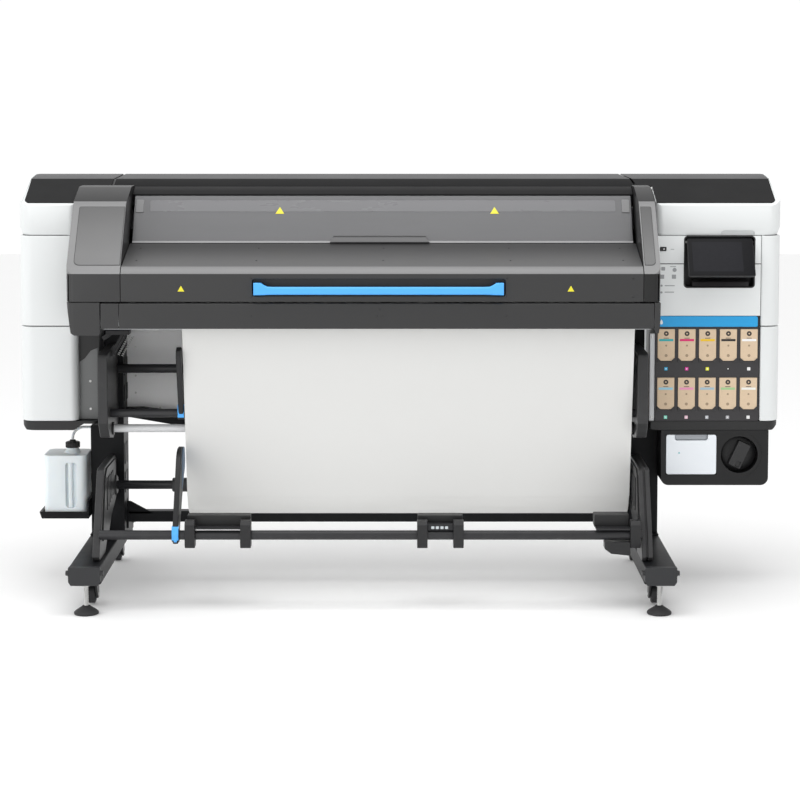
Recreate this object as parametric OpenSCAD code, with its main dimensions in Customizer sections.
// Roll-fed sign printer with an inner cutter, on a floor stand with take-up and supply rolls.
// Millimetres. +Z is up, the operator stands on the -Y side and +X is the operator's right.
// The origin is on the floor, under the middle of the whole machine.

/* [Overall] */
// Width across both towers
overall_w = 2583; // [2560:1:2620]
// Depth over the foot beams
overall_d = 852; // [845:1:880]
// Height of the top cover's rear edge
overall_h = 1402; // [1398:1:1410]

/* [Stand] */
// Middle of the left foot beam, along X
left_foot_x = -1020; // [-1024:1:-1016]
// Middle of the right foot beam, along X
right_foot_x = 843; // [840:1:846]
// Width of a foot beam
foot_w = 104; // [100:1:108]
// Underside of the foot beams above the floor
foot_z = 101; // [101:1:103]
// Height of a foot beam's section
foot_h = 60; // [56:1:64]
// Width of a levelling pad
pad_d = 80; // [70:1:84]
// Radius of a caster wheel
wheel_r = 30; // [28:1:31]
// Gap between the floor and the front casters, which the levelling pads lift clear
front_caster_gap = 4; // [3:1:5]

/* [Towers] */
// Depth of both towers
tower_d = 327; // [325:1:330]
// Width of the left tower's outer column
left_column_w = 197; // [195:1:198]
// Width of the right tower
right_tower_w = 425.5; // [425:0.5:426]
// Underside of the white shells
shell_z = 574; // [572:1:576]
// Underside of the top caps
cap_z = 1207; // [1206:1:1210]
// Wall of the moulded shells
shell_wall = 4; // [3:0.5:5]

/* [Curing module] */
// How far the module stands in front of the towers
module_reach = 265; // [262:1:268]
// Underside of the module
module_z = 1009; // [1009:1:1011]
// Left end of the module
module_x0 = -1090; // [-1090:1:-1088]
// Right end of the module
module_x1 = 851; // [848:1:852]
// Width of the left side cap
left_cap_w = 178; // [175:1:180]
// Width of the right side cap
right_cap_w = 56; // [54:1:58]
// Wall of the module's panels
panel_wall = 5; // [4:0.5:6]

/* [Media] */
// Left edge of the media
media_x0 = -720; // [-722:1:-715]
// Width of the media
media_w = 1496; // [1480:1:1497]
// Thickness of the media
media_t = 0.8; // [0.6:0.1:1]
// Radius of the take-up roll
takeup_r = 97; // [90:1:98]
// Radius of the supply roll
supply_r = 76; // [60:1:102]
// Height of the flat print zone
platen_z = 1000; // [999:1:1001]

/* [Ink] */
// Width of an ink cartridge's face
cartridge_w = 58; // [56:0.5:59]
// Height of an ink cartridge's face
cartridge_h = 108; // [104:1:110]
// Depth of an ink cartridge
cartridge_d = 230; // [200:1:234]
// Distance between cartridge middles
cartridge_pitch = 70.3; // [70:0.1:70.5]

/* [Hidden] */
$fn = 48;

// Clearances
run = 0.05;             // radial clearance of a pin that turns or slides in its bore
gap = 0.4;              // space between neighbours that move past each other

// Anchor planes along Y: every depth is counted from the towers' front faces
foot_front = -overall_d / 2;
foot_back = overall_d / 2;
face = foot_front + 404;
tower_back = face + tower_d;
module_front = face - module_reach;

// Anchor planes along X
left_x = -overall_w / 2;
right_x = overall_w / 2;
left_inner = left_x + left_column_w;     // inner side of the left column
left_panel_x = left_inner + 68;          // inner edge of the recessed panel beside it
right_inner = right_x - right_tower_w;   // inner side of the right tower
left_cap_x = module_x0 + left_cap_w;
right_cap_x = module_x1 - right_cap_w;
top_split_l = -960;                      // ends of the middle top cover
top_split_r = 812;
post_l = left_foot_x + 65;               // inner faces of the stand's posts
post_r = right_foot_x - 65;
arm_l = [-1005, -972];                   // left and right arms, from side to side
arm_r = [790, 826];
arm_wall = 4;

// Anchor heights
foot_top = foot_z + foot_h;
base_z = shell_z - 32;
post_top = 880;
module_top = [face + 130, 1358];         // the module's hinge axis, as Y and Z
module_back = module_top[0] + 6;
window_low = [face - 20, 1182];
window_high = [face + 75, 1338];

// Rods across the stand, each as Y, Z and radius
upper_tube = [face + 90, 742, 15.5];
middle_tube = [face - 92, 616, 14];
lower_tube = [face - 300, 246, 15.5];
guide_axis = [face - 40, 556, 13.5];
takeup_axis = [face + 40, 347, 15];
supply_axis = [face + 330, 700, 15];
pin_r = 9;                               // end pins of the rods that turn

// Levelling feet and casters, as Y
levelling_y = face - 360;
front_caster_y = face - 254;
rear_caster_y = face + 390;
stud_r = 7.5;
caster_trail = 22;
stem_r = 8;

// Print zone
nose = [face - 150, platen_z - 40];      // middle of the exit nose
entry = [face + 146, platen_z - 30];     // middle of the entry bend
nose_r = 40;
entry_r = 30;
drive_r = 20;
drive_y = face + 118;
pinch_r = 10;
chassis_l = [-988, -980];
chassis_r = [828, 836];
carriage_x = [520, 790];
cutter_x = 490;
cutter_y = face + 20;
cutter_r = 8;

// Ink system
ink_x0 = 874.6;
ink_rows = [780, 614];                   // undersides of the upper and lower row
ink_clear = 0.4;

// Display: the hinge axis as Y and Z, and the angle from upright
display_x = [976, 1200];
display_axis = [face + 12, 1184];
display_tilt = 32;
recess_x = [970, 1202];
recess_z = [1032, 1203];
recess_d = 62;

// Service box
knob_axis = [1156, 458];
tray_y = [face + 60, face + 200];
cap_axis = [-1135, face + 130];

// Solids ---------------------------------------------------------------------

// Box between two opposite corners
module block(lo, hi) { translate(lo) cube(hi - lo); }

// Prism along X whose outline is given as Y and Z
module yz_prism(x, outline) {
    translate([x[0], 0, 0]) rotate([90, 0, 90]) linear_extrude(x[1] - x[0]) polygon(outline);
}

// Prism along Y whose outline is given as X and Z
module xz_prism(y, outline) {
    translate([0, y[1], 0]) rotate([90, 0, 0]) linear_extrude(y[1] - y[0]) polygon(outline);
}

// Rod along X
module x_rod(x, yz, r) {
    translate([x[0], yz[0], yz[1]]) rotate([0, 90, 0]) cylinder(h = x[1] - x[0], r = r);
}

// Rod along Y
module y_rod(y, xz, r) {
    translate([xz[0], y[1], xz[1]]) rotate([90, 0, 0]) cylinder(h = y[1] - y[0], r = r);
}

// Rectangle with four rounded corners
module round_rect(lo, hi, r) {
    translate([lo[0] + r, lo[1]]) square([hi[0] - lo[0] - 2 * r, hi[1] - lo[1]]);
    translate([lo[0], lo[1] + r]) square([hi[0] - lo[0], hi[1] - lo[1] - 2 * r]);
    for (x = [lo[0] + r, hi[0] - r], y = [lo[1] + r, hi[1] - r]) translate([x, y]) circle(r);
}

// Outline of a band with a constant thickness along a chain of points
function band(outer, inner) = concat(outer, [for (i = [len(inner) - 1:-1:0]) inner[i]]);

// Point at an angle on a circle
function on_circle(c, r, a) = c + r * [cos(a), sin(a)];

// Direction of the common tangent's normal for two circles that lie on the same side of it
function tangent_normal(c0, r0, c1, r1, side) =
    let (d = c1 - c0) atan2(d[1], d[0]) + side * acos((r0 - r1) / norm(d));

// Angles from one value to another in even steps
function sweep(a, b, n) = [for (i = [0:n]) a + (b - a) * i / n];

// Media path, t above the rolls, the entry bend and the nose
takeup_c = [takeup_axis[0], takeup_axis[1]];
supply_c = [supply_axis[0], supply_axis[1]];
supply_normal = tangent_normal(supply_c, supply_r + gap, entry, entry_r, -1);
takeup_normal = tangent_normal(nose, nose_r, takeup_c, takeup_r + gap, -1);
takeup_turn = takeup_normal < 0 ? takeup_normal + 360 : takeup_normal;
function media_path(t) = concat(
    [on_circle(supply_c, supply_r + gap + t, supply_normal)],
    [for (a = sweep(supply_normal, 90, 4)) on_circle(entry, entry_r + t, a)],
    [for (a = sweep(90, takeup_turn, 8)) on_circle(nose, nose_r + t, a)],
    [on_circle(takeup_c, takeup_r + gap + t, takeup_turn)]);

// Stand ----------------------------------------------------------------------

// One side of the stand: a foot beam, a column and a post. side is +1 on the left, -1 on the right
module leg(x, side) {
    wall = 4;
    column_y = [face + 112, face + 232];
    column_x = side > 0 ? [x - 50, x + 65] : [x - 65, x + 50];
    post_x = side > 0 ? [x, x + 65] : [x - 65, x];
    plate_z = foot_z - 8;
    difference() {
        union() {
            difference() {
                block([x - foot_w / 2, foot_front + 24, foot_z], [x + foot_w / 2, foot_back - 24, foot_top]);
                block([x - foot_w / 2 + wall, foot_front + 23, foot_z + wall],
                      [x + foot_w / 2 - wall, foot_back - 23, foot_top - wall]);
            }
            for (y = [[foot_front, foot_front + 24], [foot_back - 24, foot_back]]) xz_prism(y, [
                [x - foot_w / 2, foot_top], [x - foot_w / 2, foot_z + 12], [x - foot_w / 2 + 8, foot_z],
                [x + foot_w / 2 - 8, foot_z], [x + foot_w / 2, foot_z + 12], [x + foot_w / 2, foot_top]]);
            difference() {
                block([column_x[0], column_y[0], foot_top], [column_x[1], column_y[1], base_z - 2]);
                block([column_x[0] + wall, column_y[0] + wall, foot_top + wall],
                      [column_x[1] - wall, column_y[1] - wall, base_z - 2 - wall]);
            }
            difference() {
                block([post_x[0], column_y[0], base_z - 2], [post_x[1], column_y[1], post_top]);
                block([post_x[0] + wall, column_y[0] + wall, base_z - 2 + wall],
                      [post_x[1] - wall, column_y[1] - wall, post_top - wall]);
            }
            for (y = [front_caster_y, rear_caster_y - 4])
                block([x - 35, y - 35, plate_z], [x + 35, y + 35, foot_z]);
            translate([x, levelling_y, foot_z - 10]) cylinder(h = 10, r = 14, $fn = 6);
        }
        translate([x, levelling_y, foot_z - 11]) cylinder(h = 50, r = stud_r + run);
        for (y = [front_caster_y, rear_caster_y - 4])
            translate([x, y, plate_z - 1]) cylinder(h = 20, r = stem_r + run);
    }
}

module left_leg() { color([0.2, 0.21, 0.22]) leg(left_foot_x, 1); }

module right_leg() { color([0.2, 0.21, 0.22]) leg(right_foot_x, -1); }

// Hex bolts that hold the end caps of the foot beams, on both sides
module foot_bolts() {
    color([0.12, 0.12, 0.13])
    for (x = [left_foot_x, right_foot_x], y = [foot_front + 12, foot_back - 12], s = [-1, 1])
        translate([x + s * foot_w / 2, y, foot_z + 40]) rotate([0, s * 90, 0]) {
            cylinder(h = 2, r = 11);
            cylinder(h = 9, r = 8.5, $fn = 6);
        }
}

// Two beams and three tubes between the sides of the stand
module cross_members() {
    beam_y = [face + 180, face + 220];
    color([0.14, 0.14, 0.15]) {
        block([post_l, beam_y[0], 176], [post_r, beam_y[1], 217]);
        for (s = [[post_l, 1], [post_r, -1]])
            xz_prism([beam_y[0], beam_y[0] + 5], [
                [s[0], 217], [s[0], 262], [s[0] + s[1] * 12, 262], [s[0] + s[1] * 95, 217]]);
        xz_prism([beam_y[0], beam_y[1] - 14], [
            [post_l, 592], [post_l, 560], [post_l + 220, 522], [post_r - 220, 522], [post_r, 560],
            [post_r, 592], [post_r - 60, 592], [post_r - 200, 575], [post_l + 200, 575], [post_l + 60, 592]]);
        for (t = [upper_tube, middle_tube]) x_rod([arm_l[1], arm_r[0]], t, t[2]);
        x_rod([arm_l[1] - 9, arm_r[0]], lower_tube, lower_tube[2]);
    }
}

// Hollow arm with one closed outline, drawn in for its cavity, and a bored boss for a rod's end pin
module arm(x, outline, cavity, axis) {
    difference() {
        union() {
            difference() {
                yz_prism(x, outline);
                yz_prism([x[0] + arm_wall, x[1] - arm_wall], cavity);
            }
            x_rod([x[0] + arm_wall, x[1] - arm_wall], axis, pin_r + 7);
        }
        x_rod([x[0] - 1, x[1] + 1], axis, pin_r + run);
    }
}

// Arms that carry the take-up, the tubes and the supply roll
module side_arms() {
    upper = [[face + 112, 826], [face - 136, 826], [face - 158, 804], [face - 158, 590],
             [face - 112, 536], [face - 20, 520], [face + 112, 560]];
    lower = [[face - 324, 176], [face - 314, foot_top], [face - 180, foot_top], [face - 90, 240],
             [face + 112, 300], [face + 112, 426], [face + 70, 446], [face - 186, 446], [face - 203, 430]];
    rear = [[face + 232, 620], [face + 360, 660], [face + 372, 700], [face + 358, 738], [face + 232, 790]];
    upper_in = [[face + 106, 820], [face - 132, 820], [face - 152, 800], [face - 152, 592],
                [face - 108, 543], [face - 18, 527], [face + 106, 565]];
    lower_in = [[face - 316, 178], [face - 309, foot_top + 6], [face - 183, foot_top + 6], [face - 94, 245],
                [face + 106, 305], [face + 106, 422], [face + 68, 440], [face - 184, 440], [face - 197, 427]];
    rear_in = [[face + 238, 628], [face + 356, 665], [face + 366, 700], [face + 354, 734], [face + 238, 781]];
    color([0.23, 0.23, 0.24])
    for (side = [[arm_l, 9], [arm_r, 0]]) {
        x = side[0];
        arm(x, upper, upper_in, guide_axis);
        arm([x[0], x[1] - side[1]], lower, lower_in, takeup_axis);
        arm([x[0], x[1] - side[1]], rear, rear_in, supply_axis);
    }
}

// Clamps on the lower tube, the sensor plate and box between them, and the drive at the right end
module takeup_drive() {
    clamps = [[-703, -670], [-522, -487], [56, 90], [174, 208], [752, 786]];
    y = lower_tube[0];
    z = lower_tube[1];
    outline = [[y - 25, z - 28], [y - 18, z - 40], [y + 18, z - 40], [y + 25, z - 30],
               [y + 25, z + 42], [y + 14, z + 50], [y - 14, z + 50], [y - 25, z + 36]];
    color([0.2, 0.2, 0.21]) {
        for (x = clamps) difference() {
            yz_prism(x, outline);
            x_rod([x[0] - 1, x[1] + 1], lower_tube, lower_tube[2]);
        }
        block([clamps[0][1], y - 20, z + 22], [clamps[1][0], y + 20, z + 27]);
        block([clamps[0][0] + 4, y + 26, z + 24], [clamps[1][1] - 4, y + 70, z + 60]);
        block([clamps[2][1], y - 14, z + 18], [clamps[3][0], y + 16, z + 40]);
        block([clamps[2][0] + 2, y + 26, z + 24], [clamps[3][1] - 2, y + 70, z + 60]);
        block([638, y + 26, z + 20], [752, y + 80, z + 62]);
        xz_prism([y - 26, y + 25], [
            [645, z - 20], [645, z - 44], [672, z - 74], [752, z - 80], [752, z - 20]]);
        block([640, y - 20, z + 19], [752, y + 20, z + 25]);
    }
}

// Edge guides that slide along the tubes beside the media. Each one is a clip and an arm
module edge_guide(tube, arm_points) {
    x = [media_x0 - 22, media_x0 - 4];
    difference() {
        union() {
            yz_prism(x, arm_points);
            x_rod([x[0] - 4, x[1] + 2], tube, tube[2] + 7);
        }
        x_rod([x[0] - 5, x[1] + 5], tube, tube[2] + run);
    }
}

module lower_edge_guide() {
    y = lower_tube[0];
    z = lower_tube[1];
    color([0.25, 0.25, 0.26]) edge_guide(lower_tube, [
        [y - 20, z - 26], [y + 22, z - 26], [y + 60, z + 30], [y + 200, z + 190], [y + 204, z + 232],
        [y + 176, z + 262], [y + 140, z + 262], [y + 96, z + 234], [y - 20, z + 40]]);
}

module upper_edge_guide() {
    y = middle_tube[0];
    z = middle_tube[1];
    color([0.25, 0.25, 0.26]) edge_guide(middle_tube, [
        [y - 16, z - 14], [y + 12, z - 14], [y + 14, z + 20], [y - 40, z + 210], [y - 54, z + 228],
        [y - 88, z + 222], [y - 94, z + 200]]);
}

module guide_bar() {
    color([0.85, 0.86, 0.87]) {
        x_rod([arm_l[1] + gap, arm_r[0] - gap], guide_axis, guide_axis[2]);
        x_rod([arm_l[1] - 26, arm_r[0] + 28], guide_axis, pin_r);
    }
}

module takeup_spindle() {
    x = [arm_l[1] - 9 + gap, arm_r[0] - gap];
    color([0.16, 0.16, 0.17]) {
        x_rod(x, takeup_axis, takeup_axis[2]);
        x_rod([x[0] - 20, x[1] + 30], takeup_axis, pin_r);
        x_rod([media_x0 + media_w + 1, media_x0 + media_w + 7], takeup_axis, 52);
        x_rod([media_x0 - 60, media_x0 - 1], takeup_axis, 24);
    }
}

// Media wound on a core
module wound_roll(axis, r) {
    difference() {
        x_rod([media_x0, media_x0 + media_w], axis, r);
        x_rod([media_x0 - 1, media_x0 + media_w + 1], axis, axis[2]);
    }
}

module takeup_roll() { color([0.9, 0.9, 0.89]) wound_roll(takeup_axis, takeup_r); }

module supply_roll() {
    x = [arm_l[1] - 9 + gap, arm_r[0] - gap];
    color([0.9, 0.9, 0.89]) {
        x_rod([media_x0, media_x0 + media_w], supply_axis, supply_r);
        x_rod([x[0], x[1]], supply_axis, supply_axis[2]);
        x_rod([x[0] - 20, x[1] + 30], supply_axis, pin_r);
        for (e = [[media_x0 - 9, media_x0], [media_x0 + media_w, media_x0 + media_w + 9]])
            x_rod(e, supply_axis, 60);
    }
}

// Levelling foot: a pad, a stud and its adjusting hexagon
module levelling_foot(x) {
    color([0.1, 0.1, 0.11]) translate([x, levelling_y, 0]) {
        cylinder(h = 7, r = pad_d / 2);
        translate([0, 0, 7]) cylinder(h = 16, r1 = pad_d / 2 - 2, r2 = 17);
        translate([0, 0, 23]) cylinder(h = 7, r = 13);
        translate([0, 0, 30]) cylinder(h = foot_z + 40 - 30, r = stud_r);
    }
}

module left_levelling_foot() { levelling_foot(left_foot_x); }

module right_levelling_foot() { levelling_foot(right_foot_x); }

// Caster fork under a mounting plate. lift is the gap between its wheel and the floor
module caster(x, y, lift) {
    top = foot_z - 8 - gap;
    axle_z = wheel_r + lift;
    color([0.12, 0.12, 0.13]) translate([x, y, 0]) {
        difference() {
            union() {
                translate([0, 0, top - 12]) cylinder(h = 12, r = 30);
                translate([0, 0, top]) cylinder(h = 10, r = stem_r);
                for (s = [[-22, -15], [15, 22]]) yz_prism(s, [
                    [-20, top - 12], [28, top - 12], [caster_trail + 18, axle_z + 6],
                    [caster_trail + 12, axle_z - 12], [caster_trail - 12, axle_z - 12],
                    [caster_trail - 24, axle_z + 8]]);
            }
            x_rod([-30, 30], [caster_trail, axle_z], 5 + run);
        }
    }
}

module wheel(x, y, lift) {
    color([0.1, 0.1, 0.1]) {
        x_rod([x - 12.5, x + 12.5], [y + caster_trail, wheel_r + lift], wheel_r);
        x_rod([x - 21, x + 21], [y + caster_trail, wheel_r + lift], 5);
    }
}

module front_left_caster() { caster(left_foot_x, front_caster_y, front_caster_gap); }

module front_right_caster() { caster(right_foot_x, front_caster_y, front_caster_gap); }

module rear_left_caster() { caster(left_foot_x, rear_caster_y - 4, 0); }

module rear_right_caster() { caster(right_foot_x, rear_caster_y - 4, 0); }

module front_left_wheel() { wheel(left_foot_x, front_caster_y, front_caster_gap); }

module front_right_wheel() { wheel(right_foot_x, front_caster_y, front_caster_gap); }

module rear_left_wheel() { wheel(left_foot_x, rear_caster_y - 4, 0); }

module rear_right_wheel() { wheel(right_foot_x, rear_caster_y - 4, 0); }

// Waste bottle ---------------------------------------------------------------

module waste_tray() {
    x = [-1240, left_foot_x - 50];
    y = [tray_y[0] - 12, tray_y[1] + 12];
    color([0.16, 0.17, 0.18]) difference() {
        xz_prism(y, [[x[0], 251], [x[0] + 8, 227], [x[1], 227], [x[1], 290], [x[1] - 6, 290], [x[1] - 6, 251]]);
        block([x[0] + 10, y[0] + 6, 233], [x[1] - 6, y[1] - 6, 300]);
    }
}

module waste_bottle() {
    color([0.82, 0.87, 0.9]) {
        difference() {
            translate([0, 0, 233.4]) linear_extrude(228)
                round_rect([-1226, tray_y[0]], [-1078, tray_y[1]], 22);
            block([cap_axis[0] - 8, tray_y[0] - 1, 262], [cap_axis[0] + 8, tray_y[0] + 16, 430]);
        }
        translate([cap_axis[0], cap_axis[1], 461]) cylinder(h = 16, r = 19);
    }
}

module bottle_cap() {
    color([0.08, 0.08, 0.09]) translate([cap_axis[0], cap_axis[1], 461.4]) difference() {
        union() {
            cylinder(h = 20, r = 25);
            cylinder(h = 27, r = 11);
        }
        translate([0, 0, -1]) cylinder(h = 17, r = 19 + run);
        translate([0, 0, 10]) cylinder(h = 30, r = 4.5 + run);
    }
}

// Clear hose from the cap up and over into the side of the column
module drain_hose() {
    bend = 40;
    r = 4.5;
    low = 478;
    start = 532 - bend;
    color([0.85, 0.88, 0.9]) {
        translate([cap_axis[0], cap_axis[1], low]) cylinder(h = start - low, r = r);
        translate([cap_axis[0] + bend, cap_axis[1], start]) rotate([90, 0, 0])
            rotate([0, 0, 90]) rotate_extrude(angle = 90) translate([bend, 0]) circle(r);
        x_rod([cap_axis[0] + bend, left_foot_x - 50], [cap_axis[1], 532], r);
    }
}

// Towers ---------------------------------------------------------------------

// Plan of the left tower, drawn in by a wall
module left_plan(in) {
    round_rect([left_x + in, face + in], [left_inner - in, tower_back - in], 30 - in);
    translate([left_x + in, face + 150 + in])
        square([left_panel_x - left_x - 2 * in, tower_d - 150 - 2 * in]);
    translate([left_x + 60, face + 40 + in])
        square([left_panel_x - left_x - 60 - in, tower_d - 40 - 2 * in]);
}

// Plan of the right tower, drawn in by a wall
module right_plan(in) {
    round_rect([right_inner + in, face + in], [right_x - in, tower_back - in], 30 - in);
    translate([right_inner + in, face + in]) square([60, tower_d - 2 * in]);
}

module tower_columns() {
    color([0.91, 0.92, 0.92]) {
        difference() {
            translate([0, 0, shell_z]) linear_extrude(cap_z - shell_z) left_plan(0);
            translate([0, 0, shell_z - 1]) linear_extrude(cap_z - shell_z + 2) left_plan(shell_wall);
        }
        difference() {
            translate([0, 0, shell_z]) linear_extrude(cap_z - shell_z) right_plan(0);
            translate([0, 0, shell_z - 1]) linear_extrude(cap_z - shell_z + 2) right_plan(shell_wall);
            block([right_inner - 1, face - 1, shell_z - 1], [1219, face + 30, cap_z + 1]);
        }
    }
}

// Side view of the top caps: an upright front, a slope and a nearly flat rear
function cap_side(in) = [
    [face + 12 + in, cap_z - (in > 0 ? 1 : 0)], [face + in, cap_z + 16], [face + in, 1304 - in / 2],
    [face + 12 + in / 2, 1318 - in], [face + 211, 1390 - in], [tower_back - in, overall_h - in],
    [tower_back - in, cap_z - (in > 0 ? 1 : 0)]];

module cap_shell(x) {
    difference() {
        intersection() {
            yz_prism(x, cap_side(0));
            children(0);
        }
        intersection() {
            yz_prism([x[0] + shell_wall, x[1] - shell_wall], cap_side(shell_wall));
            children(1);
        }
    }
}

module tower_caps() {
    high = overall_h + 10 - cap_z;
    pin_len = 26;
    color([0.91, 0.92, 0.92]) {
        difference() {
            union() {
                cap_shell([left_x, top_split_l]) {
                    translate([0, 0, cap_z - 5]) linear_extrude(high) {
                        round_rect([left_x, face], [left_inner, tower_back], 30);
                        translate([left_x + 60, face + 145]) square([top_split_l - left_x - 60, tower_d - 145]);
                    }
                    translate([0, 0, cap_z - 5]) linear_extrude(high) {
                        round_rect([left_x + 4, face + 4], [left_inner - 4, tower_back - 4], 26);
                        translate([left_x + 60, face + 149]) square([top_split_l - left_x - 64, tower_d - 153]);
                    }
                }
                cap_shell([top_split_r, right_x]) {
                    translate([0, 0, cap_z - 5]) linear_extrude(high) {
                        round_rect([right_inner, face], [right_x, tower_back], 30);
                        translate([right_inner, face]) square([60, 100]);
                        translate([top_split_r, face + 145]) square([200, tower_d - 145]);
                    }
                    translate([0, 0, cap_z - 5]) linear_extrude(high) {
                        round_rect([right_inner + 4, face + 4], [right_x - 4, tower_back - 4], 26);
                        translate([top_split_r + 4, face + 149]) square([150, tower_d - 153]);
                    }
                }
            }
            block([top_split_l - 5, face + 149, cap_z - 1], [top_split_r + 5, tower_back - 4, 1300]);
            xz_prism([face - 1, face + 22], [
                [1090, cap_z - 1], [1090, cap_z + 12], [1096, cap_z + 17], [1197, cap_z + 17],
                [1203, cap_z + 12], [1203, cap_z - 1]]);
        }
        x_rod([left_inner - 1, left_inner - 1 + pin_len], module_top, 6);
        x_rod([right_inner + 1 - pin_len, right_inner + 1], module_top, 6);
    }
}

module tower_bases() {
    color([0.17, 0.17, 0.18]) {
        difference() {
            translate([0, 0, base_z]) linear_extrude(shell_z - base_z)
                round_rect([left_x + 3, face + 3], [left_inner - 3, tower_back], 30);
            translate([0, 0, base_z + 5]) linear_extrude(shell_z - base_z)
                round_rect([left_x + 8, face + 8], [left_inner - 8, tower_back - 5], 25);
        }
        block([left_inner - 4, face + 36, shell_z - 18], [left_panel_x, face + 108, shell_z]);
        difference() {
            translate([0, 0, base_z]) linear_extrude(shell_z - base_z)
                round_rect([right_inner + 4, face + 3], [right_x - 3, tower_back], 30);
            translate([0, 0, base_z + 5]) linear_extrude(shell_z - base_z)
                round_rect([right_inner + 9, face + 8], [right_x - 8, tower_back - 5], 25);
        }
    }
}

// White front of the right tower with the display's recess, and the silver strip beside the ink
module front_panel() {
    switch_hole = [[879, 1154.6], [901, 1167.4]];
    color([0.92, 0.93, 0.93]) {
        difference() {
            union() {
                block([right_inner, face, 897], [1219, face + 6, cap_z - 1]);
                block([recess_x[0] - 4, face, recess_z[0] - 4], [recess_x[1] + 4, face + recess_d + 4, cap_z - 1]);
                block([874, face, 1149], [906, face + 30, 1173]);
            }
            block([recess_x[0], face - 1, recess_z[0]], [recess_x[1], face + recess_d, recess_z[1]]);
            block([switch_hole[0][0], face - 1, switch_hole[0][1]], [switch_hole[1][0], face + 26, switch_hole[1][1]]);
            x_rod([recess_x[0] - 10, recess_x[1] + 10], display_axis, 4 + run);
        }
        block([right_inner - 18, face + 6, shell_z], [right_inner, face + 10, 872]);
    }
}

// Rocker of the power switch
module power_switch() {
    color([0.05, 0.05, 0.05]) {
        xz_prism([face - 2, face + 6], [[880, 1155], [900, 1155], [900, 1167], [880, 1167]]);
        translate([890, face + 4, 1155]) cylinder(h = 12, r = 6);
    }
}

// Tilting display on two side pins
module display() {
    color([0.03, 0.03, 0.04])
    translate([0, display_axis[0], display_axis[1]]) rotate([-display_tilt, 0, 0]) {
        block([display_x[0], -16, -136], [display_x[1], -2, 8]);
        block([display_x[0] + 20, -2, -126], [display_x[1] - 20, 6, 4]);
        x_rod([recess_x[0] - 3, recess_x[1] + 3], [0, 0], 4);
    }
}

// Ink ------------------------------------------------------------------------

module ink_bay() {
    lo = [right_inner + shell_wall, face + 4, shell_z];
    hi = [1218, face + 250, 896];
    color([0.16, 0.15, 0.16]) difference() {
        block(lo, hi);
        for (z = ink_rows, i = [0:4])
            block([ink_x0 + i * cartridge_pitch - ink_clear, face + 3, z - ink_clear],
                  [ink_x0 + i * cartridge_pitch + cartridge_w + ink_clear, face + 240, z + cartridge_h + ink_clear]);
    }
}

// Cartridge in one of two rows of five, with cut lower corners
module ink_cartridge(number) {
    x = ink_x0 + ((number - 1) % 5) * cartridge_pitch;
    z = ink_rows[number > 5 ? 1 : 0];
    cut = 7;
    color([0.8, 0.71, 0.6]) xz_prism([face + 2, face + 2 + cartridge_d], [
        [x, z + cartridge_h], [x, z + cut], [x + cut, z], [x + cartridge_w - cut, z],
        [x + cartridge_w, z + cut], [x + cartridge_w, z + cartridge_h]]);
}

// Service box ----------------------------------------------------------------

module service_box() {
    color([0.13, 0.13, 0.14]) difference() {
        union() {
            block([889, face, 383], [1255, face + 330, base_z]);
            xz_prism([face, face + 330], [[889, 383], [907, 353], [1237, 353], [1255, 383]]);
        }
        block([905.6, face - 1, 389.6], [1078.4, face + 272, 527.4]);
        y_rod([face - 1, face + 40], knob_axis, 63);
        block([1092, face + 50, 366], [1242, face + 322, base_z - 8]);
        block([888, face + 111, 352], [right_foot_x + 50.5, face + 233, base_z + 1]);
    }
}

module maintenance_cartridge() {
    color([0.93, 0.94, 0.95]) difference() {
        block([906, face - 2, 390], [1078, face + 262, 527]);
        block([938, face - 3, 508], [1046, face + 14, 528]);
    }
}

module service_knob() {
    color([0.1, 0.1, 0.11]) {
        y_rod([face + 28, face + 39.6], knob_axis, 60);
        translate([knob_axis[0], 0, knob_axis[1]]) rotate([0, 25, 0])
            block([-22, face - 4, -44.5], [22, face + 28, 44.5]);
    }
}

// Body between the towers ------------------------------------------------------

module output_panel() {
    y0 = module_front;
    left = [-1090, -980];
    right = [829, 851];
    color([0.22, 0.22, 0.23]) {
        difference() {
            block([left[1], y0, 920], [right[0], y0 + 50, 1004]);
            block([left[1] - 1, y0 + 4, 924], [right[0] + 1, y0 + 51, 1000]);
        }
        difference() {
            yz_prism(left, [[y0, 1006], [y0, 940], [y0 + 16, 898], [face + 39, 898], [face + 39, 1006]]);
            block([left[0] + 4, y0 + 20, 902], [left[1] - 4, face + 35, 1002]);
        }
        yz_prism([right[0], right[1]], [[y0, 1006], [y0, 920], [y0 + 10, 905], [face + 5, 905], [face + 5, 1006]]);
    }
}

module rear_cover() {
    color([0.3, 0.3, 0.31])
    xz_prism([tower_back - 5, tower_back], [
        [left_panel_x + 1, post_top], [right_inner - 1, post_top], [right_inner - 1, cap_z - 1],
        [top_split_r - 1, cap_z - 1], [top_split_r - 1, 1296], [top_split_l + 1, 1296],
        [top_split_l + 1, cap_z - 1], [left_panel_x + 1, cap_z - 1]]);
}

module top_cover() {
    outer = [[face + 145, 1300], [face + 145, 1367], [face + 211, 1390], [tower_back, overall_h], [tower_back, 1297]];
    inner = [[face + 150, 1300], [face + 150, 1363], [face + 212, 1385], [tower_back - 5, overall_h - 5],
             [tower_back - 5, 1297]];
    color([0.25, 0.25, 0.26]) yz_prism([top_split_l + 1, top_split_r - 1], band(outer, inner));
}

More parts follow.
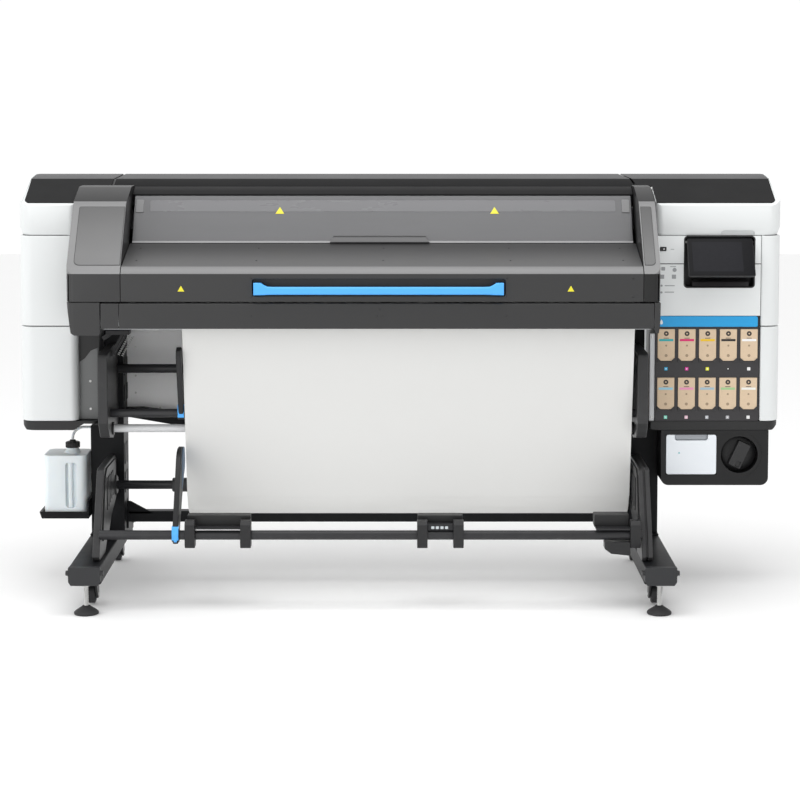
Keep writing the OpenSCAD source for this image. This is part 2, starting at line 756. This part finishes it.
// Side plates, beam, rails, belt and the sheet behind the stand
module chassis() {
    plate = [[face + 60, post_top], [face + 60, 1040], [face + 150, 1040], [face + 150, 1296],
             [face + 316, 1296], [face + 316, post_top]];
    color([0.55, 0.56, 0.57]) {
        for (x = [chassis_l, chassis_r]) difference() {
            yz_prism(x, plate);
            x_rod([x[0] - 1, x[1] + 1], [drive_y, platen_z - gap - drive_r], 8 + run);
            x_rod([x[0] - 1, x[1] + 1], [drive_y, platen_z + media_t + gap + pinch_r], 4 + run);
        }
        difference() {
            block([chassis_l[1], face + 220, 1215], [chassis_r[0], face + 300, 1290]);
            block([chassis_l[1] - 1, face + 225, 1220], [chassis_r[0] + 1, face + 295, 1285]);
        }
        for (z = [1090, 1160]) x_rod([chassis_l[1], chassis_r[0]], [face + 175, z], 10);
        block([chassis_l[1] + 40, face + 205, 1120], [chassis_r[0] - 40, face + 209, 1130]);
        block([post_l, face + 211, 562], [post_r, face + 214, 890]);
    }
}

// Bent plate that carries the media through the print zone and over the nose
module platen() {
    function path(r) = concat(
        [[face + 94, platen_z - nose_r + r]],
        [for (a = sweep(90, takeup_turn, 6)) on_circle(nose, r, a)],
        [on_circle(nose, r, takeup_turn) + 44 * [cos(takeup_turn + 90), sin(takeup_turn + 90)]]);
    color([0.7, 0.71, 0.72])
    yz_prism([chassis_l[1], chassis_r[0]], band(path(nose_r - 0.6), path(nose_r - 5.6)));
}

module media_web() {
    color([0.89, 0.89, 0.88])
    yz_prism([media_x0, media_x0 + media_w], band(media_path(0), media_path(media_t)));
}

module drive_roller() {
    axis = [drive_y, platen_z - gap - drive_r];
    color([0.3, 0.3, 0.31]) {
        x_rod([chassis_l[1] + gap, chassis_r[0] - gap], axis, drive_r);
        x_rod([chassis_l[0], chassis_r[1]], axis, 8);
    }
}

module pinch_rollers() {
    axis = [drive_y, platen_z + media_t + gap + pinch_r];
    count = 12;
    color([0.12, 0.12, 0.12]) {
        x_rod([chassis_l[0], chassis_r[1]], axis, 4);
        for (i = [0:count - 1]) {
            x = media_x0 + 40 + i * (media_w - 130) / (count - 1);
            x_rod([x, x + 50], axis, pinch_r);
        }
    }
}

// Carriage with its printheads, rail block and the cutter's guide
module carriage() {
    bottom = platen_z + 8;
    color([0.2, 0.2, 0.22]) difference() {
        union() {
            block([carriage_x[0], face - 40, bottom], [carriage_x[1], face + 96, 1150]);
            block([carriage_x[0] + 20, face + 96, 1060], [carriage_x[1] - 20, face + 200, 1190]);
            block([cutter_x - 16, cutter_y - 16, 1040], [carriage_x[0], cutter_y + 16, 1090]);
        }
        for (z = [1090, 1160]) x_rod([carriage_x[0] + 19, carriage_x[1] - 19], [face + 175, z], 10 + run);
        translate([cutter_x, cutter_y, 1030]) cylinder(h = 70, r = cutter_r + run);
    }
}

// Blade holder of the cutter: a plunger with a collar, and the blade at its lower end
module cutter() {
    color([0.3, 0.45, 0.65]) translate([cutter_x, cutter_y, 0]) {
        translate([0, 0, 1024]) cylinder(h = 86, r = cutter_r);
        translate([0, 0, 1100]) cylinder(h = 14, r = 13);
        translate([0, 0, 1014]) cylinder(h = 10, r1 = 3, r2 = cutter_r);
        translate([0, 0, 1007]) cylinder(h = 7, r = 1);
    }
}

// Curing module ----------------------------------------------------------------

// Front wall, rounded band, shelf and underside; and the strip above the window
module module_cover() {
    y0 = module_front;
    t = panel_wall;
    outer = [[y0, module_z], [y0, 1101], [y0 + 4, 1113], [y0 + 20, 1125], window_low];
    inner = [[y0 + t, module_z + t], [y0 + t, 1099], [y0 + 8, 1109], [y0 + 22, 1120], window_low - [-1, t]];
    pan = [[-484, y0, 1027], [346, y0 + 30, 1084]];
    color([0.27, 0.27, 0.28]) {
        difference() {
            union() {
                yz_prism([left_cap_x, right_cap_x], band(outer, inner));
                block([left_cap_x, y0, module_z], [right_cap_x, face - 110, module_z + t]);
                block(pan[0] - [4, 0, 4], pan[1] + [4, 4, 4]);
            }
            block(pan[0] - [0, 1, 0], pan[1]);
        }
        yz_prism([left_cap_x, right_cap_x], band(
            [window_high + [2, 4], [module_back, 1366]],
            [window_high + [6, -4], [module_back, 1360]]));
    }
}

// Side caps: outer wall, front, slope, roof and the inner wall above the shelf
module side_cap(x, outer_x, inner_x) {
    y0 = module_front;
    t = panel_wall;
    roof = [[y0, module_z], [y0, 1136], [face - 80, 1321], [face + 50, 1368], [module_back, 1371]];
    under = [[y0 + t, module_z], [y0 + t, 1134], [face - 78, 1314], [face + 51, 1362], [module_back, 1365]];
    side = concat(roof, [[module_back, 1342], [face + 70, 1290], [face - 40, 1160], [face - 110, module_z]]);
    above = concat([[y0, 1101], [y0, 1136]], [for (i = [2:4]) roof[i]],
                   [[module_back, 1350], window_high + [12, -8], window_low + [8, -6], [y0 + 20, 1119]]);
    difference() {
        union() {
            yz_prism(x, band(roof, under));
            yz_prism(outer_x, side);
            yz_prism(inner_x, above);
            x_rod([min(outer_x), max(outer_x)], module_top, 13);
        }
        x_rod([min(outer_x) - 1, max(outer_x) + 30], module_top, 6 + run);
        x_rod([min(inner_x) - 1, max(inner_x) + 1], window_high + [-1, -4], 4 + run);
    }
}

module module_side_caps() {
    color([0.33, 0.33, 0.34]) {
        side_cap([module_x0, left_cap_x], [module_x0, module_x0 + 22], [left_cap_x - 6, left_cap_x]);
        side_cap([right_cap_x, module_x1], [module_x1 - 12, module_x1], [right_cap_x, right_cap_x + 6]);
    }
}

// Smoky window with a grip lip, on two end pins
module window() {
    x = [left_cap_x + 8, right_cap_x - 8];
    t = 5;
    lean = unit_normal(window_low, window_high);
    low = window_low + [0, 1];
    color([0.35, 0.36, 0.37, 0.6]) {
        yz_prism(x, [low, window_high, window_high - t * lean, low - t * lean]);
        x_rod([left_cap_x - 6, right_cap_x + 6], window_high + [-1, -4], 4);
        yz_prism([-225, 88], [low, low + 14 * lean, low + 14 * lean + [1, 3], low + [10, 18]]);
    }
}

// Unit vector square to the line from one point to another, on its left side
function unit_normal(from, to) = let (d = (to - from) / norm(to - from)) [-d[1], d[0]];

// Blue pull bar: a flat bar between two end blocks
module handle() {
    x = [-479, 341];
    y = [module_front - 27, module_front + 30];
    color([0.35, 0.7, 1]) {
        block([x[0] + 20, y[0], 1034], [x[1] - 20, y[0] + 15, 1060]);
        for (e = [[x[0], x[0] + 36], [x[1] - 36, x[1]]]) block([e[0], y[0], 1033], [e[1], y[1], 1073]);
    }
}

left_leg();
right_leg();
foot_bolts();
cross_members();
side_arms();
takeup_drive();
tower_columns();
tower_caps();
tower_bases();
front_panel();
ink_bay();
service_box();
waste_tray();
waste_bottle();
drain_hose();
output_panel();
rear_cover();
top_cover();
chassis();
platen();
media_web();
module_cover();
module_side_caps();
handle();
window();
display();
power_switch();
for (i = [1:10]) ink_cartridge(i);
maintenance_cartridge();
service_knob();
bottle_cap();
carriage();
cutter();
drive_roller();
pinch_rollers();
guide_bar();
takeup_roll();
takeup_spindle();
supply_roll();
lower_edge_guide();
upper_edge_guide();
left_levelling_foot();
right_levelling_foot();
front_left_caster();
front_right_caster();
rear_left_caster();
rear_right_caster();
front_left_wheel();
front_right_wheel();
rear_left_wheel();
rear_right_wheel();
